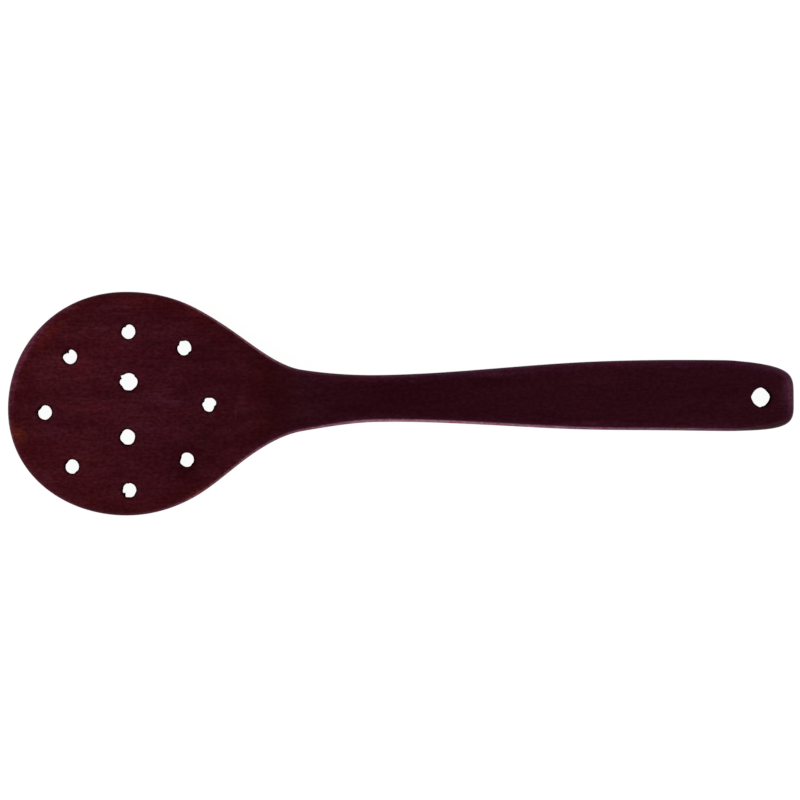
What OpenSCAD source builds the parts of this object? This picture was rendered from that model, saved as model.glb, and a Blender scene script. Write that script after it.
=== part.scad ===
// Skimmer: a strainer spoon carved from one board of hardwood.
// The head is dished on its face, rounded on its back and drilled for draining.
// Its outline was cut by hand, so the two sides differ a little.
// Lengths are in millimetres. +X runs from the head to the handle, and +Z is the face.
// The origin is under the middle of the whole tool, on the surface that it lies on.

/* [Overall] */
// Length from the tip of the head to the end of the handle
total_len = 330; // [310:1:360]

/* [Head] */
// Width of the head at its widest place, the centre of the head
head_w = 94; // [88:0.5:100]
// Distance from the centre of the head forward to the tip
tip_run = 49.6; // [44:0.1:56]
// How far the tip lies towards the near side
tip_lean = 2; // [0:0.1:4]
// Half length of the ellipse that the head follows behind its centre
bowl_reach = 54.3; // [48:0.1:60]
// Distance from the centre of the head back to where the sides leave that ellipse
bowl_run = 29; // [20:0.5:32]
// How far the middle of the head there lies towards the far side
bowl_lean = 0.5; // [0:0.1:2]
// Height of the rim over the surface that the tool lies on
rim_h = 7; // [6:0.1:8]
// Radius that rounds the head's rim over, above and below
rim_r = 1.4; // [1:0.1:2.5]

/* [Dish and back of the head] */
// Depth of the dish below the rim, at the centre of the head
dish_depth = 2.8; // [1.5:0.1:3.5]
// Distance from the centre of the head back to the end of the dish
dish_run = 56; // [48:0.5:62]
// Width of the level lip between the dish and the edge
lip_w = 2.5; // [1:0.1:5]
// Radius of the flat on the back that the head rests on
back_flat_r = 16; // [10:0.5:24]
// Height of the back of the rim over that flat
back_rise = 2.2; // [1:0.1:3]

/* [Shoulders and neck] */
// Distance from the centre of the head back to the shoulders
shoulder_run = 49; // [40:0.5:58]
// How far the middle of the shoulders lies towards the far side
shoulder_lean = 1.4; // [0:0.1:3]
// Distance from the centre of the head back to the throat, where the sides turn
throat_run = 74; // [66:0.5:82]
// Width of the throat
throat_w = 25.9; // [22:0.1:32]
// How far the middle of the throat lies towards the far side
throat_lean = 0.6; // [0:0.1:3]
// Distance from the centre of the head back to the neck, its narrowest place
neck_run = 105.5; // [94:0.5:120]
// Width of the neck
neck_w = 19.8; // [16:0.1:22]
// How far the middle of the neck lies towards the far side
neck_lean = 1.1; // [0:0.1:3]

/* [Handle] */
// Distance from the end of the handle forward to the grip
grip_back = 72; // [55:1:80]
// Width of the grip
grip_w = 29.3; // [26:0.1:32]
// How far the middle of the grip lies towards the far side
grip_lean = 1.4; // [0:0.1:3]
// Distance from the end of the handle forward to the palm, its widest place
palm_back = 30; // [27:0.5:40]
// Width of the palm
palm_w = 29.9; // [27:0.1:33]
// How far the middle of the palm lies towards the far side
palm_lean = 0.9; // [0:0.1:3]
// Width of the end, before its corners are rounded
end_w = 25.5; // [20:0.1:28]
// How far the middle of the end lies towards the near side
end_lean = 0.5; // [0:0.1:2]
// Distance from the end over which its corners are rounded
end_round_run = 25; // [12:0.5:26]
// Thickness of the handle along its middle
handle_h = 10; // [9:0.1:12]
// Thickness of the end of the handle along its middle
end_h = 9; // [8:0.1:11]
// How far the face of the handle falls from its middle to its sides
crown_h = 0.6; // [0:0.1:1.5]
// Radius that rounds the sides of the handle over, above and below
handle_r = 1.6; // [1:0.1:3.6]
// Radius that rounds the end of the handle over, above and below
end_r = 3.6; // [2:0.1:4]

/* [Drain holes] */
// Diameter of the holes in the ring
ring_hole_d = 6; // [5:0.1:7]
// Distance from the widest part of the rim in to the ring that the holes lie on
ring_inset = 13.3; // [11:0.1:17]
// How far the middle of the ring lies towards the near side
ring_lean = 2.5; // [0:0.1:4]
// How far the middle of the ring lies behind the centre of the head
ring_run = 0.7; // [0:0.1:2]
// Diameter of the inner hole on the far side
far_hole_d = 7.4; // [5:0.1:8]
// Diameter of the inner hole on the near side
near_hole_d = 6.5; // [5:0.1:8]
// Distance between the two inner holes
inner_gap = 23.2; // [18:0.1:28]
// How far the inner hole on the far side lies behind the one on the near side
inner_slant = 0.7; // [0:0.1:3]

/* [Hanging hole] */
// Diameter of the hole
hang_d = 8; // [6:0.1:10]
// Distance from the end of the handle to the middle of the hole
hang_back = 13.9; // [12:0.1:20]
// How far the edges of all the holes are eased
ease = 0.4; // [0.2:0.05:0.8]

/* [Hidden] */

// How far each cutter runs past the wood
overrun = 2;
// Turn of each hole in the ring from its even place, in degrees, as they were drilled by eye
ring_drift = [3, 2, -1, 2, 1.5, 0, 0.5, 4];
// Distance of each hole from the middle of the ring
ring_shares = [1.015, 1.04, 0.97, 0.975, 1.035, 0.995, 1.005, 0.965];
// How full the curve of the tip is, where 1 is an ellipse
tip_fullness = 1.02;
// How late the tip swings to the near side, where 1 is a steady slant
tip_swing = 3;
// How square the rounded corners of the end are, where 2 is an ellipse
end_squareness = 4.6;
// How softly the dish runs out at its edge, where 1 leaves a sharp rim
dish_softness = 1.5;
// Largest rounding of an edge, as a share of the thickness there
most_round_share = 0.44;

// Steps of the outline round the tip, to the neck, to the rounded corners and round them
tip_steps = 16;
front_steps = 24;
back_steps = 14;
end_steps = 10;
// Steps of the face and of the back from their middle to an edge, and of each rounded edge
face_steps = 7;
round_steps = 4;
// Sides that a hole is drawn with
hole_sides = 48;

// Places along the length, counted from the centre of the head
end_x = total_len - tip_run;
grip_x = end_x - grip_back;
palm_x = end_x - palm_back;
round_x = end_x - end_round_run;
heel_x = end_x - end_w / 2;
hang_x = end_x - hang_back;
// Place of the centre of the head from the origin
head_x = tip_run - total_len / 2;
// Radius of the ring that the holes lie on
ring_r = head_w / 2 - ring_inset;

// Half the width along the length, and how far the middle lies towards the far side
bowl_share = sqrt(1 - pow(bowl_run / bowl_reach, 2));
half_widths = with_slopes([
    [bowl_run, head_w / 2 * bowl_share],
    [throat_run, throat_w / 2],
    [neck_run, neck_w / 2],
    [grip_x, grip_w / 2],
    [palm_x, palm_w / 2],
    [end_x, end_w / 2]
], -head_w / 2 * bowl_run / pow(bowl_reach, 2) / bowl_share);
leans = with_slopes([
    [0, 0],
    [bowl_run, bowl_lean],
    [shoulder_run, shoulder_lean],
    [throat_run, throat_lean],
    [neck_run, neck_lean],
    [grip_x, grip_lean],
    [palm_x, palm_lean],
    [end_x, -end_lean]
], 0);

// A table of [place, value] with the slope of a smooth curve added to each row.
// The curve is level where the values turn, so that it never swings past them.
function with_slopes(rows, first_slope) =
    let (last = len(rows) - 1)
    let (rates = [for (i = [1:last]) (rows[i].y - rows[i - 1].y) / (rows[i].x - rows[i - 1].x)])
    [for (i = [0:last]) [rows[i].x, rows[i].y, i == 0 ? first_slope : i == last ? rates[i - 1] : turn(
        rates[i - 1], rates[i], rows[i].x - rows[i - 1].x, rows[i + 1].x - rows[i].x)]];

// Slope at a row, from the rates and the lengths of the stretches before and after it
function turn(rate_in, rate_out, run_in, run_out) =
    rate_in * rate_out <= 0 ? 0 :
    3 * (run_in + run_out) /
        ((run_in + 2 * run_out) / rate_in + (2 * run_in + run_out) / rate_out);

// Value of the smooth curve through the rows at a place
function along(rows, x) =
    let (i = max([0, for (k = [1:len(rows) - 2]) if (x >= rows[k].x) k]))
    let (a = rows[i], b = rows[i + 1], run = b.x - a.x, t = (x - a.x) / run)
    a.y + (b.y - a.y) * t * t * (3 - 2 * t)
        + run * t * (1 - t) * (a[2] * (1 - t) - b[2] * t);

// Soft rise from 0 to 1 between two places
function rise(x, from, to) =
    let (t = max(0, min(1, (x - from) / (to - from))))
    t * t * (3 - 2 * t);

function lean(x) = x < 0 ? -tip_lean * pow(-x / tip_run, tip_swing) : along(leans, min(x, end_x));
function half_width(x) = x < bowl_run ? head_w / 2 * sqrt(1 - pow(max(0, x) / bowl_reach, 2))
    : along(half_widths, min(x, end_x));

// Height of the face: the rim, the slope up to the handle, the dish and the crown
function face(x, y) =
    let (up = rise(x, bowl_run, neck_run), down = rise(x, grip_x, end_x))
    let (middle = rim_h + (handle_h - rim_h) * up - (handle_h - end_h) * down)
    let (across = (y - lean(x)) / half_width(x))
    middle - crown_h * up * across * across - dish_depth * dish(x, y);

// Depth of the dish as a share of its deepest place
function dish(x, y) =
    let (run = x < 0 ? tip_run - lip_w : dish_run, half = head_w / 2 - lip_w)
    let (inside = 1 - pow(x / run, 2) - pow(y / half, 2))
    inside <= 0 ? 0 : pow(inside, dish_softness);

// Height of the back, which is flat but for the rounded underside of the head
function back(x, y) =
    let (out = max(0, (norm([x, y]) - back_flat_r) / (head_w / 2 - back_flat_r)))
    back_rise * out * out * (1 - rise(x, bowl_run, throat_run));

// Radius of the rounded edges, from the rim of the head to the sides and the end of the handle
function edge_r(x, y) =
    let (up = rise(x, bowl_run, neck_run), last = rise(x, round_x, end_x))
    let (wanted = rim_r + (handle_r - rim_r) * up + (end_r - handle_r) * last)
    min(wanted, most_round_share * (face(x, y) - back(x, y)));

// Points of one side of the outline from the tip to the end, where side is 1 or -1
function tip_point(i, side) =
    let (a = 90 * i / tip_steps)
    let (x = -tip_run * pow(cos(a), 1 / tip_fullness))
    [x, lean(x) + side * head_w / 2 * pow(sin(a), 1 / tip_fullness)];
function side_point(x, side) = [x, lean(x) + side * half_width(x)];
function end_point(i, side) =
    let (a = 90 * i / end_steps)
    let (x = round_x + end_round_run * pow(sin(a), 2 / end_squareness))
    [x, lean(x) + side * half_width(x) * pow(cos(a), 2 / end_squareness)];
function one_side(side) = [
    for (i = [0:tip_steps - 1]) tip_point(i, side),
    for (i = [0:front_steps - 1]) side_point(neck_run * i / front_steps, side),
    for (i = [0:back_steps - 1]) side_point(neck_run + (round_x - neck_run) * i / back_steps, side),
    for (i = [0:end_steps]) end_point(i, side)
];

// The closed outline: the far side from the tip to the end, and the near side back again
far_side = one_side(1);
near_side = one_side(-1);
half_count = len(far_side) - 1;
count = 2 * half_count;
outline = [each far_side, for (i = [half_count - 1:-1:1]) near_side[i]];

// Inward direction at a point of the outline, square to the edge
function inward(i) =
    let (d = outline[(i + 1) % count] - outline[(i + count - 1) % count])
    [d.y, -d.x] / norm(d);

// Place on the middle line that the face and the back run in to from a point of the outline
function middle_place(i) =
    let (x = max(0, min(outline[i].x, heel_x)))
    [x, lean(x)];

// The edge's points at one place of the outline, from the back round to the face
function edge_rows(i) =
    let (p = outline[i], n = inward(i), r = edge_r(p.x, p.y))
    [
        for (k = [0:round_steps]) let (a = 90 * k / round_steps, q = p + n * r * (1 - sin(a)))
            [q.x, q.y, back(q.x, q.y) + r * (1 - cos(a))],
        for (k = [0:round_steps]) let (a = 90 * k / round_steps, q = p + n * r * (1 - cos(a)))
            [q.x, q.y, face(q.x, q.y) - r * (1 - sin(a))]
    ];

// A whole row of points at one place of the outline, from the middle of the back to that of the face
function rows_at(i) =
    let (edge = edge_rows(i), m = middle_place(i), rim = [edge[0].x, edge[0].y])
    let (inner = [for (k = [1:face_steps - 1]) m + (rim - m) * k / face_steps])
    [
        for (q = inner) [q.x, q.y, back(q.x, q.y)],
        each edge,
        for (k = [len(inner) - 1:-1:0]) [inner[k].x, inner[k].y, face(inner[k].x, inner[k].y)]
    ];

// The whole skin as one closed mesh of triangles
module blank() {
    rows = [for (i = [0:count - 1]) rows_at(i)];
    deep = len(rows[0]);
    skin = [for (i = [0:count - 1], j = [0:deep - 2])
        let (a = i * deep + j, b = (i + 1) % count * deep + j)
        each [[a, b, b + 1], [a, b + 1, a + 1]]];
    across = [for (i = [0:half_count - 1])
        let (a = i, b = i + 1, c = count - i - 1, d = (count - i) % count)
        each [if (b != c) [a, b, c], if (a != d) [a, c, d]]];
    back_faces = [for (t = across) [t[2] * deep, t[1] * deep, t[0] * deep]];
    face_faces = [for (t = across) [t[0] * deep, t[1] * deep, t[2] * deep] + (deep - 1) * [1, 1, 1]];
    polyhedron(points = [for (row = rows) each row], faces = [each skin, each back_faces, each face_faces]);
}

// A drill that leaves a round hole with eased edges at one place
module drill(x, y, d) {
    low = back(x, y);
    high = face(x, y);
    wide = d / 2 + ease + overrun;
    translate([x, y, 0])
        rotate_extrude($fn = hole_sides)
            polygon([
                [0, low - overrun],
                [wide, low - overrun],
                [d / 2, low + ease],
                [d / 2, high - ease],
                [wide, high + overrun],
                [0, high + overrun]
            ]);
}

module drain_holes() {
    for (i = [0:len(ring_drift) - 1]) {
        turn_by = 360 * i / len(ring_drift) + ring_drift[i];
        reach = ring_r * ring_shares[i];
        drill(ring_run + reach * cos(turn_by), reach * sin(turn_by) - ring_lean, ring_hole_d);
    }
    drill(ring_run + inner_slant / 2, inner_gap / 2 - ring_lean, far_hole_d);
    drill(ring_run - inner_slant / 2, -inner_gap / 2 - ring_lean, near_hole_d);
}

module skimmer() {
    color("#3b0e17")
        translate([head_x, 0, 0])
            difference() {
                blank();
                drain_holes();
                drill(hang_x, 0, hang_d);
            }
}

skimmer();
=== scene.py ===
# A skimmer: a strainer spoon carved from one board of hardwood and stained a dark wine red.
# It lies face up on a white table and is seen from straight above.
# Places are counted from the centre of the head, in millimetres: x to the handle, y to the far side.

import math

import bmesh
import bpy
from mathutils import Matrix, Vector, kdtree, noise


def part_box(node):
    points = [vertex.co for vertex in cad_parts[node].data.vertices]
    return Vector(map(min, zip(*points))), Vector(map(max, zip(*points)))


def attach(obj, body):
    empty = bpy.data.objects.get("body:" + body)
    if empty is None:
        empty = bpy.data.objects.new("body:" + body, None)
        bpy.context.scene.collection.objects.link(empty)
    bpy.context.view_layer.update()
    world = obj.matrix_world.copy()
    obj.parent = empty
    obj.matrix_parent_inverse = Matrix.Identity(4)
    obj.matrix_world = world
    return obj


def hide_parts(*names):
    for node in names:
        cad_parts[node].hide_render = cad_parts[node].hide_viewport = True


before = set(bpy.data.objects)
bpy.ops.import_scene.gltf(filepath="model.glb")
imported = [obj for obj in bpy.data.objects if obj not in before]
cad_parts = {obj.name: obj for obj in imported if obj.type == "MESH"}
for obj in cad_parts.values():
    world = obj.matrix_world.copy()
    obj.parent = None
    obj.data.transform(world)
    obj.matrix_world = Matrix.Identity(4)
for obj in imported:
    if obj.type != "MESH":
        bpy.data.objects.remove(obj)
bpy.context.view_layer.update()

MM = 0.001

# The board, with its length and width from the frame
LOW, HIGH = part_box("skimmer")
TOTAL_LEN = (HIGH.x - LOW.x) / MM
HEAD_W = (HIGH.y - LOW.y) / MM
TIP_RUN = 49.6
HEAD_X = LOW.x / MM + TIP_RUN

# The tip is a little fuller than half an ellipse, and swings to the near side more and more
TIP_LEAN = 2.0
TIP_FULLNESS = 1.02
TIP_SWING = 3

# Towards the handle the head follows a half ellipse of this reach, for this run. A lean is how far the
# middle of the width lies towards the far side.
BOWL_REACH, BOWL_RUN, BOWL_LEAN = 54.3, 29.0, 0.5
RIM_H = 7.0
RIM_R = 1.4

# The dish, and the back of the head
DISH_DEPTH = 2.8
DISH_RUN = 56.0
DISH_SOFTNESS = 1.5
LIP_W = 2.5
BACK_FLAT_R = 16.0
BACK_RISE = 2.2

# The shoulders and the neck
SHOULDER_RUN, SHOULDER_LEAN = 49.0, 1.4
THROAT_RUN, THROAT_W, THROAT_LEAN = 74.0, 25.9, 0.6
NECK_RUN, NECK_W, NECK_LEAN = 105.5, 19.8, 1.1

# The handle, measured from its end
END_X = TOTAL_LEN - TIP_RUN
GRIP_X, GRIP_W, GRIP_LEAN = END_X - 72, 29.3, 1.4
PALM_X, PALM_W, PALM_LEAN = END_X - 30, 29.9, 0.9
END_W, END_LEAN = 25.5, 0.5
END_ROUND_RUN, END_SQUARENESS = 25.0, 4.6
ROUND_X = END_X - END_ROUND_RUN
HEEL_X = END_X - END_W / 2
HANDLE_H = 10.0
END_H = 9.0
CROWN_H = 0.6
HANDLE_R = 1.6
END_R = 3.6
MOST_ROUND_SHARE = 0.44

# The holes
RING_HOLE_D = 6.0
RING_INSET = 13.3
RING_R = HEAD_W / 2 - RING_INSET
RING_LEAN = 2.5
RING_RUN = 0.7
RING_DRIFT = [3, 2, -1, 2, 1.5, 0, 0.5, 4]
RING_SHARES = [1.015, 1.04, 0.97, 0.975, 1.035, 0.995, 1.005, 0.965]
FAR_HOLE_D = 7.4
NEAR_HOLE_D = 6.5
INNER_GAP = 23.2
INNER_SLANT = 0.7
HANG_D = 8.0
HANG_INSET = 13.9
HANG_X = END_X - HANG_INSET
EASE = 0.4

# How finely the board is skinned: steps of the outline, of the face and back, and of each rounded edge,
# how close two points are one, and the turn past which an edge is shaded sharp
TIP_STEPS, FRONT_STEPS, BACK_STEPS, END_STEPS = 56, 80, 60, 32
FACE_STEPS, ROUND_STEPS = 22, 8
WELD = 0.0001
SHARP_TURN = math.radians(38)

# The hand work: how deep the low places are that the scraper left, and how far apart
SCRAPE_DEPTH = 0.12
SCRAPE_WAVE = 23.0


# Half the width along the length, and how far the middle lies towards the far side

def with_slopes(rows, first_slope):
    """Rows of place and value, with the slope of a smooth curve that never swings past them."""
    rates = [(b[1] - a[1]) / (b[0] - a[0]) for a, b in zip(rows, rows[1:])]
    runs = [b[0] - a[0] for a, b in zip(rows, rows[1:])]
    slopes = [first_slope]
    for rate_in, rate_out, run_in, run_out in zip(rates, rates[1:], runs, runs[1:]):
        if rate_in * rate_out <= 0:
            slopes.append(0)
            continue
        weighed = (run_in + 2 * run_out) / rate_in + (2 * run_in + run_out) / rate_out
        slopes.append(3 * (run_in + run_out) / weighed)
    slopes.append(rates[-1])
    return [(x, value, slope) for (x, value), slope in zip(rows, slopes)]


def along(rows, x):
    """Value of the smooth curve through the rows at a place."""
    first = max([0] + [k for k in range(1, len(rows) - 1) if x >= rows[k][0]])
    (start, low, slope_in), (stop, high, slope_out) = rows[first], rows[first + 1]
    run = stop - start
    t = (x - start) / run
    bend = run * t * (1 - t) * (slope_in * (1 - t) - slope_out * t)
    return low + (high - low) * t * t * (3 - 2 * t) + bend


def rise(x, start, stop):
    """Soft rise from 0 to 1 between two places."""
    t = min(1, max(0, (x - start) / (stop - start)))
    return t * t * (3 - 2 * t)


BOWL_SHARE = math.sqrt(1 - (BOWL_RUN / BOWL_REACH) ** 2)
HALF_WIDTHS = with_slopes(
    [
        (BOWL_RUN, HEAD_W / 2 * BOWL_SHARE),
        (THROAT_RUN, THROAT_W / 2),
        (NECK_RUN, NECK_W / 2),
        (GRIP_X, GRIP_W / 2),
        (PALM_X, PALM_W / 2),
        (END_X, END_W / 2),
    ],
    -HEAD_W / 2 * BOWL_RUN / BOWL_REACH**2 / BOWL_SHARE,
)
LEANS = with_slopes(
    [
        (0, 0),
        (BOWL_RUN, BOWL_LEAN),
        (SHOULDER_RUN, SHOULDER_LEAN),
        (THROAT_RUN, THROAT_LEAN),
        (NECK_RUN, NECK_LEAN),
        (GRIP_X, GRIP_LEAN),
        (PALM_X, PALM_LEAN),
        (END_X, -END_LEAN),
    ],
    0,
)


def lean(x):
    """How far the middle of the width lies towards the far side."""
    if x < 0:
        return -TIP_LEAN * (-x / TIP_RUN) ** TIP_SWING
    return along(LEANS, min(x, END_X))


def half_width(x):
    """Half the width from the middle of the head to the end."""
    if x < BOWL_RUN:
        return HEAD_W / 2 * math.sqrt(1 - (max(0, x) / BOWL_REACH) ** 2)
    return along(HALF_WIDTHS, min(x, END_X))


# The face, the back and the rounded edges

def dish(x, y):
    """Depth of the dish as a share of its deepest place."""
    run = TIP_RUN - LIP_W if x < 0 else DISH_RUN
    inside = 1 - (x / run) ** 2 - (y / (HEAD_W / 2 - LIP_W)) ** 2
    return max(0, inside) ** DISH_SOFTNESS


def face(x, y):
    """Height of the face, with its dish and the crown of the handle."""
    up, down = rise(x, BOWL_RUN, NECK_RUN), rise(x, GRIP_X, END_X)
    middle = RIM_H + (HANDLE_H - RIM_H) * up - (HANDLE_H - END_H) * down
    across = (y - lean(x)) / half_width(x)
    return middle - CROWN_H * up * across**2 - DISH_DEPTH * dish(x, y)


def back(x, y):
    """Height of the back, which rises to the rim of the head and is flat elsewhere."""
    out = max(0, (math.hypot(x, y) - BACK_FLAT_R) / (HEAD_W / 2 - BACK_FLAT_R))
    return BACK_RISE * out**2 * (1 - rise(x, BOWL_RUN, THROAT_RUN))


def edge_r(x, y):
    """Radius of the rounded edge, never more than the wood there allows."""
    wanted = RIM_R + (HANDLE_R - RIM_R) * rise(x, BOWL_RUN, NECK_RUN)
    wanted += (END_R - HANDLE_R) * rise(x, ROUND_X, END_X)
    return min(wanted, MOST_ROUND_SHARE * (face(x, y) - back(x, y)))


def one_side(side):
    """Places of one side of the outline from the tip to the end, where side is 1 or -1."""
    places = []
    for i in range(TIP_STEPS):
        a = math.pi / 2 * i / TIP_STEPS
        x = -TIP_RUN * math.cos(a) ** (1 / TIP_FULLNESS)
        places.append(Vector((x, lean(x) + side * HEAD_W / 2 * math.sin(a) ** (1 / TIP_FULLNESS))))
    runs = [NECK_RUN * i / FRONT_STEPS for i in range(FRONT_STEPS)]
    runs += [NECK_RUN + (ROUND_X - NECK_RUN) * i / BACK_STEPS for i in range(BACK_STEPS)]
    places += [Vector((x, lean(x) + side * half_width(x))) for x in runs]
    for i in range(END_STEPS + 1):
        a = math.pi / 2 * i / END_STEPS
        x = ROUND_X + END_ROUND_RUN * math.sin(a) ** (2 / END_SQUARENESS)
        narrow = max(0, math.cos(a)) ** (2 / END_SQUARENESS)
        places.append(Vector((x, lean(x) + side * half_width(x) * narrow)))
    return places


def outline_places():
    far_side, near_side = one_side(1), one_side(-1)
    return far_side + near_side[-2:0:-1]


def row_at(outline, i):
    """Points at one place of the outline: out along the back, round the edge and in along the face."""
    p = outline[i]
    ahead = outline[(i + 1) % len(outline)] - outline[i - 1]
    inward = Vector((ahead.y, -ahead.x)).normalized()
    r = edge_r(p.x, p.y)
    turns = [math.pi / 2 * k / ROUND_STEPS for k in range(ROUND_STEPS + 1)]
    x = max(0, min(p.x, HEEL_X))
    middle = Vector((x, lean(x)))
    inner = [middle.lerp(p + inward * r, k / FACE_STEPS) for k in range(FACE_STEPS)]
    row = [(q.x, q.y, back(q.x, q.y)) for q in inner]
    for a in turns:
        q = p + inward * r * (1 - math.sin(a))
        row.append((q.x, q.y, back(q.x, q.y) + r * (1 - math.cos(a))))
    for a in turns:
        q = p + inward * r * (1 - math.cos(a))
        row.append((q.x, q.y, face(q.x, q.y) - r * (1 - math.sin(a))))
    return row + [(q.x, q.y, face(q.x, q.y)) for q in reversed(inner)]


def carve_blank():
    """The board with no holes: a ring of edges is drawn out step by step, round under, edge and face."""
    outline = outline_places()
    rows = [row_at(outline, i) for i in range(len(outline))]
    bm = bmesh.new()
    station = bm.verts.layers.int.new("station")
    for i, vert in enumerate(bmesh.ops.create_circle(bm, segments=len(rows), radius=1)["verts"]):
        vert[station] = i
        vert.co = rows[i][0]
    ring = bm.edges[:]
    for step in range(1, len(rows[0])):
        drawn = bmesh.ops.extrude_edge_only(bm, edges=ring)["geom"]
        ring = [g for g in drawn if isinstance(g, bmesh.types.BMEdge)]
        for vert in (g for g in drawn if isinstance(g, bmesh.types.BMVert)):
            vert.co = rows[vert[station]][step]
    bmesh.ops.remove_doubles(bm, verts=bm.verts, dist=WELD)
    bmesh.ops.recalc_face_normals(bm, faces=bm.faces)
    bm.normal_update()
    for vert in bm.verts:
        low = (1 + noise.noise(vert.co / SCRAPE_WAVE)) / 2
        vert.co -= vert.normal * SCRAPE_DEPTH * low
    return bm


# The holes, drilled by eye and left rough: each nick has its direction in degrees, how far the wood
# stands in, and how wide it spreads in degrees

RING_NICKS = [
    [(150, 0.6, 14), (22, -0.25, 12), (-22, 1.0, 18), (-48, 0.5, 14), (90, 0.3, 20), (205, 0.25, 16)],
    [(150, 0.45, 12), (121, -0.3, 10), (-42, 0.65, 15), (-20, -0.3, 10), (60, -0.3, 22), (-85, -0.15, 10),
     (250, -0.15, 14)],
    [(125, 0.6, 13), (160, 0.1, 12), (-35, 0.3, 12), (75, -0.15, 15), (5, 0.2, 20), (195, -0.15, 18)],
    [(118, 1.3, 13), (142, 0.7, 17), (-20, 0.25, 24), (185, -0.25, 16), (70, -0.15, 14)],
    [(140, 0.55, 20), (-45, 0.3, 18), (60, -0.2, 20), (215, -0.1, 15)],
    [(140, 0.35, 22), (-48, 0.45, 12), (65, -0.1, 18), (180, 0.15, 15)],
    [(100, 0.3, 9), (212, 1.1, 6), (224, 0.7, 5), (243, -0.25, 9), (-25, 0.35, 12), (170, 0.2, 15)],
    [(165, 0.55, 22), (208, -0.2, 9), (-38, 0.4, 13), (30, -0.1, 15)],
]
FAR_NICKS = [
    (141, -0.65, 8), (155, 0.5, 6), (38, 0.5, 9), (5, -0.2, 14), (-48, 0.45, 18), (214, 0.4, 16),
    (268, 0.25, 22), (182, -0.2, 12),
]
NEAR_NICKS = [
    (150, 0.35, 22), (225, 0.25, 18), (-15, 0.25, 20), (60, 0.1, 16), (270, 0.15, 20), (92, -0.12, 16),
]
HANG_NICKS = [
    (135, 0.15, 16), (43, 0.2, 16), (229, 0.05, 12), (-41, 0.12, 12), (179, -0.65, 12), (262, -0.35, 11),
    (88, -0.15, 14), (5, -0.2, 14), (-75, 0.15, 5),
]
# Share of a nick that is left at the face, where the rim is cleaner than inside
FACE_NICK_SHARE = 0.45
# The drill's eased corner stops short of level, so that it meets the wood at a clear angle
CORNER_TURN = math.radians(70)
# How finely the drill is turned: steps of its corner, of its wall and round it
CORNER_STEPS, WALL_STEPS, DRILL_STEPS = 6, 4, 96
# How far it runs out of the wood above and below
OVERRUN = 2.0
# How far out from a hole's own radius a nick may take its raw wall, and what counts there as level wood
WALL_REACH = 1.0
LEVEL = 0.96


def holes():
    """Place, diameter and nicks of every hole."""
    found = []
    for i, (drift, share, nicks) in enumerate(zip(RING_DRIFT, RING_SHARES, RING_NICKS)):
        a = math.radians(360 * i / len(RING_DRIFT) + drift)
        reach = RING_R * share
        place = (RING_RUN + reach * math.cos(a), reach * math.sin(a) - RING_LEAN)
        found.append((*place, RING_HOLE_D, nicks))
    found.append((RING_RUN + INNER_SLANT / 2, INNER_GAP / 2 - RING_LEAN, FAR_HOLE_D, FAR_NICKS))
    found.append((RING_RUN - INNER_SLANT / 2, -INNER_GAP / 2 - RING_LEAN, NEAR_HOLE_D, NEAR_NICKS))
    found.append((HANG_X, 0, HANG_D, HANG_NICKS))
    return found


def turned_drill(bm, x, y, d, nicks):
    """A round cutter with eased ends, turned from its profile, then bent to the wood and nicked."""
    low, high = back(x, y), face(x, y)
    corner = [
        (d / 2 + EASE * (1 - math.cos(CORNER_TURN * k / CORNER_STEPS)),
         EASE * (1 - math.sin(CORNER_TURN * k / CORNER_STEPS)))
        for k in range(CORNER_STEPS, -1, -1)
    ]
    rise_out = OVERRUN + corner[0][1]
    wide = corner[0][0] + rise_out * math.tan(CORNER_TURN)
    wall = [low + EASE + (high - low - 2 * EASE) * k / WALL_STEPS for k in range(1, WALL_STEPS)]
    profile = [(0, low - OVERRUN), (wide, low - OVERRUN)]
    profile += [(r, low + deep) for r, deep in corner]
    profile += [(d / 2, z) for z in wall]
    profile += [(r, high - deep) for r, deep in reversed(corner)]
    profile += [(wide, high + OVERRUN), (0, high + OVERRUN)]
    chain = [bm.verts.new((r, 0, z)) for r, z in profile]
    edges = [bm.edges.new(pair) for pair in zip(chain, chain[1:])]
    before = set(bm.verts) - set(chain)
    bmesh.ops.spin(
        bm, geom=chain + edges, axis=(0, 0, 1), cent=(0, 0, 0), angle=2 * math.pi,
        steps=DRILL_STEPS, use_merge=True,
    )
    bmesh.ops.remove_doubles(bm, verts=[v for v in bm.verts if v not in before], dist=WELD)
    for vert in set(bm.verts) - before:
        r, a = math.hypot(vert.co.x, vert.co.y), math.atan2(vert.co.y, vert.co.x)
        height = min(1, max(0, (vert.co.z - low) / (high - low)))
        fade = 1 - (1 - FACE_NICK_SHARE) * height
        stand_in = 0
        for towards, depth, spread in nicks:
            off = math.degrees(math.remainder(a - math.radians(towards), 2 * math.pi))
            stand_in += depth * fade * math.exp(-((off / spread) ** 2))
        if r > WELD:
            r -= stand_in
        reach = min(r, d / 2 + EASE)
        near = (x + reach * math.cos(a), y + reach * math.sin(a))
        tilt = (back(*near) - low) * (1 - height) + (face(*near) - high) * height
        vert.co = (x + r * math.cos(a), y + r * math.sin(a), vert.co.z + tilt)


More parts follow.
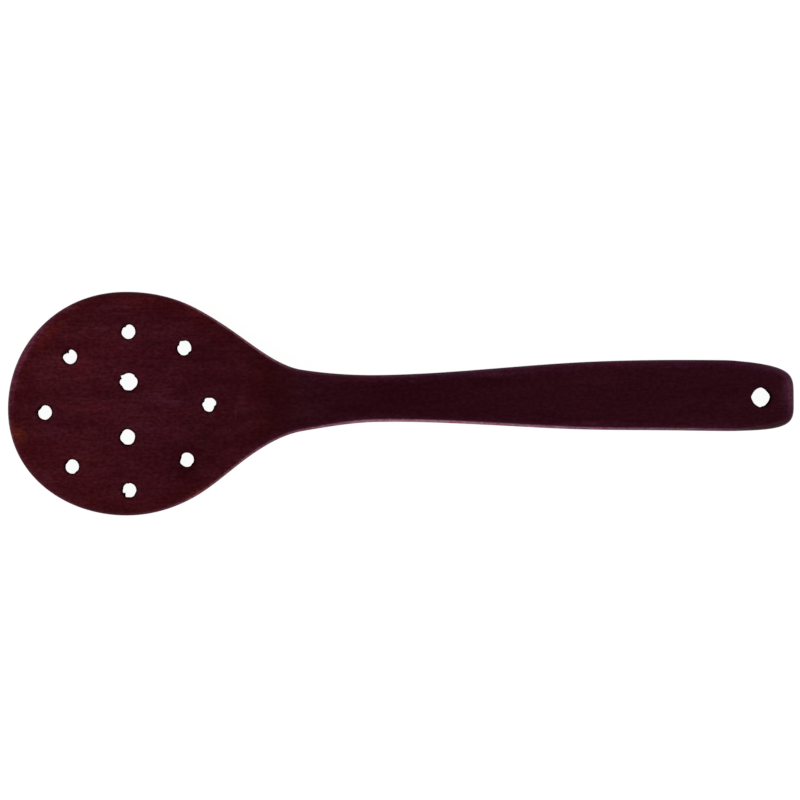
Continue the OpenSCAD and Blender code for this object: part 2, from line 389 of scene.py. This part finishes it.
def cut_holes(bm):
    """A mesh of the board with every hole cut through it."""
    board_mesh, drill_mesh = bpy.data.meshes.new("board"), bpy.data.meshes.new("drills")
    bm.to_mesh(board_mesh)
    drills = bmesh.new()
    for hole in holes():
        turned_drill(drills, *hole)
    bmesh.ops.recalc_face_normals(drills, faces=drills.faces)
    drills.to_mesh(drill_mesh)
    drills.free()
    board, drill = bpy.data.objects.new("board", board_mesh), bpy.data.objects.new("drills", drill_mesh)
    for piece in (board, drill):
        bpy.context.collection.objects.link(piece)
    cut = board.modifiers.new("holes", "BOOLEAN")
    cut.operation, cut.solver, cut.object = "DIFFERENCE", "EXACT", drill
    shaped = board.evaluated_get(bpy.context.evaluated_depsgraph_get())
    mesh = bpy.data.meshes.new_from_object(shaped)
    bpy.data.objects.remove(board)
    bpy.data.objects.remove(drill)
    return mesh


# How strong the painted highlight is along the edge of the face, where light catches the rounded rim,
# by place along the far and the near side
FAR_EDGE_HIGHLIGHT = [
    (-50, 0.4), (-36, 0.5), (-22, 0.1), (0, 0), (20, 0.1), (30, 0.9), (58, 0.9), (70, 0.1), (END_X, 0),
]
NEAR_EDGE_HIGHLIGHT = [
    (-50, 0.4), (-44, 0), (0, 0), (14, 0.1), (26, 0.4), (36, 0.6), (45, 0.6), (65, 0.4), (95, 0.9),
    (120, 1.0), (170, 1.0), (200, 0.65), (225, 0.5), (245, 0.35), (END_X - 14, 0), (END_X, 0),
]
# How strongly the painted purple sheen shows on the rounded rim, where light catches it
FAR_RIM_SHEEN = [
    (-50, 0.55), (-48, 0.55), (-45, 0.9), (-39, 0.85), (-34, 0.5), (-26, 0.25), (-14, 0.06), (50, 0.03),
    (70, 0.3), (90, 0.6), (END_X, 0.55),
]
NEAR_RIM_SHEEN = [
    (-50, 0.35), (-48, 0.1), (-43, 0.2), (-32, 0.1), (-22, 0.05), (10, 0), (45, 0.3), (60, 0.45),
    (80, 0.35), (150, 0.36), (175, 0.5), (205, 0.55), (225, 0.45), (END_X - 30, 0.3), (END_X - 12, 0),
    (END_X - 2, 0.05), (END_X, 0.55),
]
# How far up a surface faces, from 0 on a wall to 1 on level wood: where it starts to count as facing up,
# and where the corner of the face runs out
UPWARD_SPAN = (0.0, 0.35)
CORNER_SPAN = (0.83, 0.985)
# What each point of the mesh is marked with for the stain and for the painted highlight and sheen at the
# rim
MARKS = ("from_rim", "from_hole", "faces_up", "edge_highlight", "rim_sheen")


def between(rows, x):
    """Value at a place on straight lines through the rows."""
    for (start, low), (stop, high) in zip(rows, rows[1:]):
        if x <= stop:
            return low + (high - low) * max(0, x - start) / (stop - start)
    return rows[-1][1]


def mark_distances(mesh):
    """Notes on each point, for the stain, how far it lies from the outline and from the nearest hole,
    whether the wood faces up, how strong the painted highlight along the edge of the face is there, and
    how strong the painted purple sheen on the rim."""
    outline = outline_places()
    tree = kdtree.KDTree(len(outline))
    for i, p in enumerate(outline):
        tree.insert(p.to_3d(), i)
    tree.balance()
    drilled = holes()
    for name in MARKS:
        mesh.attributes.new(name, "FLOAT", "POINT")
    from_rim, from_hole, faces_up, edge_highlight, rim_sheen = (mesh.attributes[name].data for name in MARKS)
    for i, vert in enumerate(mesh.vertices):
        x, y = vert.co.x, vert.co.y
        from_rim[i].value = tree.find((x, y, 0))[2]
        from_hole[i].value = min(math.hypot(x - hx, y - hy) - d / 2 for hx, hy, d, _ in drilled)
        up = faces_up[i].value = rise(vert.normal.z, *UPWARD_SPAN)
        corner = up * (1 - rise(vert.normal.z, *CORNER_SPAN))
        # Painted highlight along the edge of the face, and painted purple sheen on the rim, by place
        # along each side
        edge_highlight[i].value = corner * between(FAR_EDGE_HIGHLIGHT if y > lean(x) else NEAR_EDGE_HIGHLIGHT, x)
        rim_sheen[i].value = up * between(FAR_RIM_SHEEN if y > lean(x) else NEAR_RIM_SHEEN, x)


def mark_walls(mesh):
    """Gives the second material to the walls of the holes."""
    from_hole = mesh.attributes["from_hole"].data
    for face_of_mesh in mesh.polygons:
        in_reach = max(from_hole[i].value for i in face_of_mesh.vertices) < WALL_REACH
        if in_reach and abs(face_of_mesh.normal.z) < LEVEL:
            face_of_mesh.material_index = 1


# Materials

def srgb(code):
    """Linear colour of an sRGB hex code."""
    parts = [int(code[i:i + 2], 16) / 255 for i in (0, 2, 4)]
    return [p / 12.92 if p <= 0.04045 else ((p + 0.055) / 1.055) ** 2.4 for p in parts] + [1]


def add(tree, kind, links, **settings):
    """Adds a node with its settings. Its inputs, by name or in order, get values, outputs or nodes."""
    node = tree.nodes.new("ShaderNode" + kind)
    for name, value in settings.items():
        setattr(node, name, value)
    for name, value in links.items() if isinstance(links, dict) else enumerate(links):
        if isinstance(value, bpy.types.Node):
            value = next(output for output in value.outputs if output.enabled)
        if isinstance(value, bpy.types.NodeSocket):
            tree.links.new(value, node.inputs[name])
        else:
            node.inputs[name].default_value = value
    return node


def new_material(name):
    material = bpy.data.materials.new(name)
    material.use_nodes = True
    material.node_tree.nodes.clear()
    return material, material.node_tree


# Where a Mix node takes its share and its two colours, whose names it uses more than once
MIX_SHARE, MIX_UNDER, MIX_OVER = 0, 6, 7
SMOOTH = {"interpolation_type": "SMOOTHSTEP"}


def tinted(tree, colour, over, pattern, span, shares, kind="MIX"):
    """A colour with another over it. As the pattern goes through its span, the share of the other goes
    from the first share to the second."""
    share = add(tree, "MapRange", [pattern, *span, *shares], **SMOOTH)
    links = {MIX_SHARE: share, MIX_UNDER: colour, MIX_OVER: over}
    return add(tree, "Mix", links, data_type="RGBA", blend_type=kind)


def fibres(tree, place, long_mm, wide_mm, detail, turn=0.0, wander=0.0):
    """Streaks along the board, of a length and a width in millimetres."""
    scale = (1 / (long_mm * MM), 1 / (wide_mm * MM), 1 / (wide_mm * MM))
    turned = add(tree, "Mapping", {"Vector": place, "Rotation": (0, 0, math.radians(turn))})
    laid = add(tree, "Mapping", {"Vector": turned, "Scale": scale})
    links = {"Vector": laid, "Scale": 1.0, "Detail": detail, "Roughness": 0.55, "Distortion": wander}
    return add(tree, "TexNoise", links)


# How large the clouds are that break up a patch, and what they are on average
CLOUD_MM = 6
CLOUD_MEAN = 0.5


def patched(tree, colour, over, place, cloud, patches):
    """A colour with cloudy patches of another: each has its place, half sizes, turn and strength."""
    for x, y, half_long, half_wide, turn, strength in patches:
        links = {
            "Vector": place,
            "Location": ((HEAD_X + x) * MM, y * MM, 0),
            "Rotation": (0, 0, math.radians(turn)),
            "Scale": (half_long * MM, half_wide * MM, 1),
        }
        laid = add(tree, "Mapping", links, vector_type="TEXTURE")
        spot = add(tree, "TexGradient", {"Vector": laid}, gradient_type="QUADRATIC_SPHERE").outputs["Fac"]
        broken = add(tree, "Math", [spot, cloud], operation="MULTIPLY")
        share = add(tree, "Math", [broken, strength / CLOUD_MEAN], operation="MULTIPLY", use_clamp=True)
        links = {MIX_SHARE: share, MIX_UNDER: colour, MIX_OVER: srgb(over)}
        colour = add(tree, "Mix", links, data_type="RGBA")
    return colour


# How the colour darkens from the head to the handle: partly the stain, and partly painted shade, the head
# lighter at the tip and darker towards the neck as light falls across the dish
STAIN_AND_SHADE = [
    (-50, "552129"), (-20, "55222a"), (20, "4f1f29"), (48, "481c24"), (60, "3f161a"), (75, "3c1924"),
    (110, "321019"), (190, "391520"), (END_X, "381521"),
]
# Where the stain took thinly and the warm wood shows through
THIN_STAIN = [
    (-45, -13, 5, 7, 20, 0.5),
    (-48, -9, 2.5, 7, 12, 0.5),
    (-19, -23, 13, 4, 3, 0.18),
    (29, -38.5, 12, 4, 28, 0.35),
    (29.5, -38, 6, 2.5, 28, 0.6),
    (35, -34, 5, 2.5, 35, 0.3),
    (49, 1, 4, 5, 0, 0.1),
    (46, -5, 10, 0.8, 88, 0.22),
]
# Where it was rubbed down to a rusty red
RUBBED_STAIN = [
    (-31, 31, 16, 4, 43, 0.36),
    (-35, 25, 8, 4, 50, 0.3),
    (5.5, 44, 17, 3, -1, 0.18),
    (30, 37, 8, 3, -28, 0.25),
    (101, 9.6, 22, 2.5, 3, 0.35),
    (207, 15, 12, 2.5, 2, 0.25),
]
# Where it is a clearer red
CLEAR_STAIN = [
    (-18.5, 14, 12, 14, 30, 0.25),
    (-12, -2, 16, 7, -5, 0.3),
    (-28, -2, 12, 10, 0, 0.1),
    (-4, 23, 16, 6, 0, 0.1),
    (6, 13, 8, 4, 0, 0.2),
    (-11, 7.5, 8, 4, 0, 0.2),
    (-2, -20, 9, 4, 0, 0.2),
]
# Where it pooled and dried dark
POOLED_STAIN = [
    (25, -29, 13, 13, 20, 0.5),
    (33, -15, 15, 11, 0, 0.5),
    (15, 25.5, 17, 6, -5, 0.4),
    (63, 3, 12, 18, 0, 0.3),
    (21, -40, 14, 4.5, 20, 0.55),
    (0, -45, 34, 4.5, 0, 0.5),
    (8, -39, 10, 5, 0, 0.4),
    (-17, -44, 14, 4, -18, 0.5),
    (26, -8, 9, 7, 0, 0.4),
    (36, -10, 8, 5, 0, 0.2),
    (-5, 26, 9, 4, 0, 0.25),
    (-20, 33, 11, 6, 20, 0.5),
    (93, -3, 20, 8, 0, 0.5),
    (152, 8.9, 10, 1.0, 3, 0.5),
    (230, 0, 18, 7, 0, 0.2),
    (END_X - 6, -11, 9, 4, 0, 0.7),
    (END_X - 7, -13, 14, 3, 6, 0.8),
]
# Where the wax dried milky, and painted highlights: the spots on the left rim of the tip and the two at
# the end of the handle stand in for light caught by the rounded edges
MILKY_WAX_AND_HIGHLIGHTS = [
    (16.5, 1.5, 18, 3.5, -12, 0.4),
    (-8, 40, 14, 7, 0, 0.25),
    (9, 13.5, 14, 5, 0, 0.15),
    (-5, -16, 9, 4, 0, 0.12),
    (36, -29, 11, 5, 28, 0.25),
    (49, 0, 5, 4, 0, 0.12),
    # The next three are painted highlights on the left rim of the tip
    (-46, 16, 28, 5, 78, 0.4),
    (-37, 31, 16, 5, 48, 0.25),
    (-46, -2, 6, 8, 0, 0.2),
    (57, -18, 14, 3.5, 33, 0.25),
    (-29, -4, 8, 5, 0, 0.15),
    (36, 4, 12, 6, 0, 0.2),
    (12, -11, 22, 4, -10, 0.2),
    (8, 10, 24, 4, -8, 0.15),
    (-30, -12, 14, 5, 5, 0.25),
    (-33, -32, 16, 5, -47, 0.25),
    (120.6, 8.3, 2.5, 0.8, 0, 0.5),
    (155, 10.8, 14, 2.5, 0, 0.5),
    (198, -10, 18, 2, 0, 0.3),
    # Painted highlight: the lit band round the end of the handle
    (END_X - 1, 1.5, 7.5, 14, 0, 0.6),
    (END_X - 1.5, 6, 5, 9, 0, 0.65),
]

# The patches in the order in which they were laid on, each kind with its colour
PATCHES = [
    ("8a4a30", THIN_STAIN),
    ("86342c", RUBBED_STAIN),
    ("74263a", CLEAR_STAIN),
    ("2b0906", POOLED_STAIN),
    ("6a4058", MILKY_WAX_AND_HIGHLIGHTS),
]

# The head turns rustier towards its rim, from so far in, in millimetres
RUSTY_TINT = "faead7"
RUSTY_SPAN = (2.0, 12.0)

# The painted purple sheen on the rim has one colour on the head and one on the handle. From the rim in it
# is full up to one distance and gone at the next, in millimetres, and both change from the head to the
# handle.
HEAD_RIM_SHEEN, HANDLE_RIM_SHEEN = "703650", "4c1e38"
RIM_SHEEN_FULL = (2.0, 0.6)
RIM_SHEEN_GONE = (3.0, 4.5)

# Where a painted pale highlight lies on the left rim of the tip, where light catches the rounded edge
RIM_HIGHLIGHT = "9a5a6c"
RIM_HIGHLIGHT_SPOTS = [
    (-42, 21.5, 10, 3.5, 60, 0.6),
]

# The painted pale pink highlight along the edge of the face, on the head and on the handle
HEAD_EDGE_HIGHLIGHT, HANDLE_EDGE_HIGHLIGHT = "a07076", "b48a9c"

# A dark ring of painted shade round each hole, where the face turns down into it: its width in
# millimetres and its strength
HOLE_SHADE = "140306"
HOLE_SHADE_SPAN = (0.0, 1.2)
HOLE_SHADE_SHARE = 0.8

# Shares of the length, from the tip, over which these turn from the head's way to the handle's
RIM_SHEEN_FULL_TURN = (0.05, 0.2)
RIM_SHEEN_GONE_TURN = (0.05, 0.4)
RIM_SHEEN_TURN = (0.1, 0.3)
RIM_TURN = (0.25, 0.4)
GRAIN_TURN = (0.25, 0.5)

# The grain: its colours and tints, how strong each layer is, and how much of the mottling and of the
# pores is left on the handle
FIGURE, FIBRE = "240409", "1c0307"
MOTTLE_TINT, PORE_TINT = "e7ced7", "e7a6b5"
FIGURE_SHARE, LINE_SHARE, FIBRE_SHARE = 0.2, 0.2, 0.25
HANDLE_MOTTLE_SHARE, HANDLE_PORE_SHARE = 0.35, 0.82
# What a noise pattern mostly keeps within, and a little more
NOISE_SPAN = (0.35, 0.65)
WIDE_NOISE_SPAN = (0.3, 0.7)

# Roughness of the wax in the hollows and on the ridges of the grain, and what the edge of a hole and
# the rim add to it, each over its distance in millimetres
WAX_ROUGHNESS = (0.38, 0.3)
HOLE_DULLNESS, HOLE_DULL_SPAN = 0.6, (0.0, 0.5)
RIM_DULLNESS, RIM_DULL_SPAN = 0.2, (1.0, 3.0)
# How deep the grain is, in the waxed face and in the raw walls of the holes
WAXED_RELIEF, TORN_RELIEF = 0.04 * MM, 0.1 * MM
# The waxed face shines a little pink
WAX_SHEEN = "ffaadd"


def stained_hardwood():
    """Close-grained hardwood such as jujube or lychee, scraped smooth, dyed with a wine red spirit stain
    and waxed. The eye sees fine dark fibres along the length, a warm head, a nearly black handle, thin
    patches at the rim where the stain was rubbed off, and a soft satin sheen. Painted into the colour
    are shade across the head, a pale highlight along the edge of the face, a purple sheen and pale spots
    on the rim and the end, and a dark ring of shade round each hole."""
    material, tree = new_material("stained_waxed_hardwood")
    place = add(tree, "TexCoord", {}).outputs["Object"]
    from_rim, from_hole, faces_up, edge_highlight, rim_sheen = (
        add(tree, "Attribute", {}, attribute_name=name).outputs["Fac"] for name in MARKS
    )

    # The stain was laid on again and again towards the handle, and painted shade darkens the head from
    # the tip towards the neck
    length = add(tree, "SeparateXYZ", {"Vector": place}).outputs["X"]
    ends = [(HEAD_X - TIP_RUN) * MM, (HEAD_X + END_X) * MM]
    towards_handle = add(tree, "MapRange", [length, *ends, 0.0, 1.0])
    colour = add(tree, "ValToRGB", {"Fac": towards_handle})
    shades = colour.color_ramp.elements
    for k, (x, code) in enumerate(STAIN_AND_SHADE):
        shade = shades[k] if k < 2 else shades.new(1)
        shade.position = (x + TIP_RUN) / TOTAL_LEN
        shade.color = srgb(code)

    # Patches, a rustier rim round the head, a painted purple sheen on the rounded rim, painted highlights
    # on the rim, and a painted pale highlight along the edge of the face
    cloud = add(tree, "TexNoise", {"Vector": place, "Scale": 1 / (CLOUD_MM * MM), "Detail": 3.0})
    cloud = add(tree, "Math", [cloud, faces_up], operation="MULTIPLY")
    for code, patches in PATCHES:
        colour = patched(tree, colour, code, place, cloud, patches)
    on_head = add(tree, "MapRange", [towards_handle, *RIM_TURN, 1.0, 0.0])
    colour = tinted(tree, colour, srgb(RUSTY_TINT), from_rim, RUSTY_SPAN, (on_head, 0.0), "MULTIPLY")
    # Painted purple sheen on the rounded rim, fading inwards from it
    full = add(tree, "MapRange", [towards_handle, *RIM_SHEEN_FULL_TURN, *RIM_SHEEN_FULL])
    gone = add(tree, "MapRange", [towards_handle, *RIM_SHEEN_GONE_TURN, *RIM_SHEEN_GONE])
    rim_sheen_colour = tinted(tree, srgb(HEAD_RIM_SHEEN), srgb(HANDLE_RIM_SHEEN), towards_handle, RIM_SHEEN_TURN, (0.0, 1.0))
    colour = tinted(tree, colour, rim_sheen_colour, from_rim, (full, gone), (rim_sheen, 0.0))
    # Painted highlight on the rim
    colour = patched(tree, colour, RIM_HIGHLIGHT, place, cloud, RIM_HIGHLIGHT_SPOTS)
    # Painted highlight along the edge of the face, where light catches the rounded rim
    edge_highlight_colour = tinted(tree, srgb(HEAD_EDGE_HIGHLIGHT), srgb(HANDLE_EDGE_HIGHLIGHT), towards_handle, RIM_TURN, (0.0, 1.0))
    links = {MIX_SHARE: edge_highlight, MIX_UNDER: colour, MIX_OVER: edge_highlight_colour}
    colour = add(tree, "Mix", links, data_type="RGBA")
    # Painted shade in a ring round each hole
    colour = tinted(tree, colour, srgb(HOLE_SHADE), from_hole, HOLE_SHADE_SPAN, (HOLE_SHADE_SHARE, 0.0))

    # Grain: broad figure and mottling, growth lines, fibres and dark pores. A real fibre or pore is finer
    # than a pixel of the render, so both are drawn much coarser than they are.
    figure = fibres(tree, place, long_mm=60, wide_mm=13, detail=3.0, wander=0.6)
    mottle = fibres(tree, place, long_mm=20, wide_mm=9, detail=3.0, turn=-8, wander=0.5)
    lines = fibres(tree, place, long_mm=24, wide_mm=1.0, detail=2.0, wander=0.3)
    fine = fibres(tree, place, long_mm=4, wide_mm=0.9, detail=3.0)
    pores = fibres(tree, place, long_mm=1.7, wide_mm=1.1, detail=1.0)
    calmer = add(tree, "MapRange", [towards_handle, *GRAIN_TURN, 1.0, HANDLE_MOTTLE_SHARE], **SMOOTH)
    fewer = add(tree, "MapRange", [towards_handle, *GRAIN_TURN, 1.0, HANDLE_PORE_SHARE], **SMOOTH)
    colour = tinted(tree, colour, srgb(FIGURE), figure, NOISE_SPAN, (0.0, FIGURE_SHARE))
    colour = tinted(tree, colour, srgb(MOTTLE_TINT), mottle, NOISE_SPAN, (0.0, calmer), "MULTIPLY")
    colour = tinted(tree, colour, srgb(FIBRE), lines, NOISE_SPAN, (LINE_SHARE, 0.0))
    colour = tinted(tree, colour, srgb(FIBRE), fine, NOISE_SPAN, (FIBRE_SHARE, 0.0))
    colour = tinted(tree, colour, srgb(PORE_TINT), pores, WIDE_NOISE_SPAN, (0.0, fewer), "MULTIPLY")

    # The rubbed face has a soft sheen, and the rim and the edges of the holes are duller
    sheen = add(tree, "MapRange", [fine, *WIDE_NOISE_SPAN, *WAX_ROUGHNESS], **SMOOTH)
    at_hole = add(tree, "MapRange", [from_hole, *HOLE_DULL_SPAN, HOLE_DULLNESS, 0.0], **SMOOTH)
    at_rim = add(tree, "MapRange", [from_rim, *RIM_DULL_SPAN, RIM_DULLNESS, 0.0], **SMOOTH)
    rougher = add(tree, "Math", [sheen, at_hole], operation="ADD", use_clamp=True)
    rougher = add(tree, "Math", [rougher, at_rim], operation="ADD", use_clamp=True)
    relief = add(tree, "Math", [fine, pores], operation="ADD")
    bump = add(tree, "Bump", {"Height": relief, "Distance": WAXED_RELIEF, "Strength": 0.5})
    links = {
        "Base Color": colour,
        "Roughness": rougher,
        "Normal": bump,
        "IOR": 1.45,
        "Specular IOR Level": 0.16,
        "Specular Tint": srgb(WAX_SHEEN),
    }
    shader = add(tree, "BsdfPrincipled", links)
    add(tree, "OutputMaterial", {"Surface": shader})
    return material


def drilled_hardwood():
    """The same wood where the drill left it raw: open end grain that drank the stain, with no sheen at
    all.
    Its nearly black colour is partly the stain and partly painted shade inside the hole."""
    material, tree = new_material("raw_drilled_hardwood")
    place = add(tree, "TexCoord", {}).outputs["Object"]
    torn = fibres(tree, place, long_mm=2.5, wide_mm=0.6, detail=2.0)
    # Nearly black: the stain in the end grain and painted shade inside the hole
    colour = tinted(tree, srgb("10020a"), srgb("260610"), torn, NOISE_SPAN, (0.0, 1.0))
    bump = add(tree, "Bump", {"Height": torn, "Distance": TORN_RELIEF, "Strength": 0.6})
    links = {
        "Base Color": colour,
        "Roughness": 0.95,
        "Normal": bump,
        "IOR": 1.45,
        "Specular IOR Level": 0.0,
    }
    shader = add(tree, "BsdfPrincipled", links)
    add(tree, "OutputMaterial", {"Surface": shader})
    return material


# The table's white: what lights the wood, the little of that which the camera sees, and its own
TABLE_WHITE, SEEN_WHITE, PURE_WHITE = "e7e7e7", "5d5d5d", "ffffff"
OWN_STRENGTH = 0.955


def white_table():
    """Matt white board. What the camera sees of it is nearly all its own white, so that it stays white
    beside the dark wood and still shows a faint shadow."""
    material, tree = new_material("matt_white_table")
    ray = add(tree, "LightPath", {}).outputs
    seen = add(tree, "Math", [ray["Is Camera Ray"], ray["Is Glossy Ray"]], operation="MAXIMUM")
    seen = add(tree, "Math", [seen, ray["Is Transmission Ray"]], operation="MAXIMUM")
    plain = add(tree, "BsdfDiffuse", {"Color": srgb(TABLE_WHITE)})
    faint = add(tree, "BsdfDiffuse", {"Color": srgb(SEEN_WHITE)})
    own = add(tree, "Emission", {"Color": srgb(PURE_WHITE), "Strength": OWN_STRENGTH})
    bright = add(tree, "AddShader", [faint, own])
    shown = add(tree, "MixShader", [seen, plain, bright])
    add(tree, "OutputMaterial", {"Surface": shown})
    return material


# The skimmer

def make_skimmer():
    bm = carve_blank()
    mesh = cut_holes(bm)
    bm.free()
    mark_distances(mesh)
    mesh.name = "skimmer_body"
    mesh.transform(Matrix.Scale(MM, 4) @ Matrix.Translation((HEAD_X, 0, 0)))
    mesh.shade_smooth()
    mesh.set_sharp_from_angle(angle=SHARP_TURN)
    mesh.materials.clear()
    mesh.materials.append(stained_hardwood())
    mesh.materials.append(drilled_hardwood())
    mark_walls(mesh)
    board = bpy.data.objects.new("skimmer_body", mesh)
    bpy.context.collection.objects.link(board)
    even = board.modifiers.new("even_shading", "WEIGHTED_NORMAL")
    even.keep_sharp = True
    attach(board, "root")
    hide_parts("skimmer")


# The table, the light and the camera, in metres and degrees. Each lamp has its direction, which is 0 at
# +X and 90 at +Y, and its watts.

TABLE_HALF = 6.0
TABLE_CELLS = 8
TABLE_DROP = 0.05 * MM
SOFTBOX_W, SOFTBOX_H = 1.5, 0.6
LAMP_AWAY = 1.6
LAMP_FROM_ZENITH = 58
LAMPS = [("key", -83, 14.8), ("side", 20, 9.6), ("far", 88, 5.6), ("fill", 185, 9.8)]
# The room is white up to a low height and dark from a little higher, as shares of straight up
DARKENING_SPAN = (0.06, 0.18)
WALL_LIGHT, CEILING_LIGHT = 1.0, 0.03
# The camera's distance from the outline's widest line, which lies a little above the table, the width
# that it sees there, where it looks, and how far it is turned
CAMERA_AWAY = 1.6
FRAME_W = 336.0 * MM
OUTLINE_H = 4.5 * MM
AIM = Vector((-0.35, 0.38, 0)) * MM
IMAGE_TILT = math.radians(0.5725)
FAR_CLIP = 100


def make_table():
    bm = bmesh.new()
    bmesh.ops.create_grid(bm, x_segments=TABLE_CELLS, y_segments=TABLE_CELLS, size=TABLE_HALF)
    bmesh.ops.translate(bm, verts=bm.verts, vec=(0, 0, -TABLE_DROP))
    mesh = bpy.data.meshes.new("table")
    bm.to_mesh(mesh)
    bm.free()
    mesh.materials.append(white_table())
    table = bpy.data.objects.new("table", mesh)
    bpy.context.collection.objects.link(table)


def softbox(name, towards, watts):
    """A long soft light that looks at the middle of the skimmer."""
    lamp = bpy.data.lights.new(name, "AREA")
    lamp.shape, lamp.size, lamp.size_y, lamp.energy = "RECTANGLE", SOFTBOX_W, SOFTBOX_H, watts
    a, z = math.radians(towards), math.radians(LAMP_FROM_ZENITH)
    place = Vector((math.sin(z) * math.cos(a), math.sin(z) * math.sin(a), math.cos(z))) * LAMP_AWAY
    held = bpy.data.objects.new(name, lamp)
    held.location = place
    held.rotation_euler = place.to_track_quat("Z", "Y").to_euler()
    held.visible_camera = False
    bpy.context.collection.objects.link(held)


def light_room():
    """A room that is white round the sides and dark overhead, so that the flat face has no milky veil."""
    world = bpy.data.worlds.new("studio")
    bpy.context.scene.world = world
    world.use_nodes = True
    tree = world.node_tree
    tree.nodes.clear()
    direction = add(tree, "TexCoord", {}).outputs["Generated"]
    height = add(tree, "SeparateXYZ", {"Vector": direction}).outputs["Z"]
    level = add(tree, "MapRange", [height, *DARKENING_SPAN, WALL_LIGHT, CEILING_LIGHT], **SMOOTH)
    sky = add(tree, "Background", {"Color": srgb(PURE_WHITE), "Strength": level})
    add(tree, "OutputWorld", {"Surface": sky})


def place_camera():
    """It looks straight down, from so far off that only the walls of the holes show the perspective."""
    view = bpy.data.cameras.new("camera")
    view.lens = view.sensor_width * CAMERA_AWAY / FRAME_W
    view.clip_end = FAR_CLIP
    camera = bpy.data.objects.new("camera", view)
    camera.location = AIM + Vector((0, 0, CAMERA_AWAY + OUTLINE_H))
    camera.rotation_euler = (0, 0, -IMAGE_TILT)
    bpy.context.collection.objects.link(camera)
    bpy.context.scene.camera = camera


make_skimmer()
make_table()
light_room()
for name, towards, watts in LAMPS:
    softbox(name, towards, watts)
place_camera()
bpy.context.scene.view_settings.view_transform = "Standard"

bpy.context.view_layer.update()
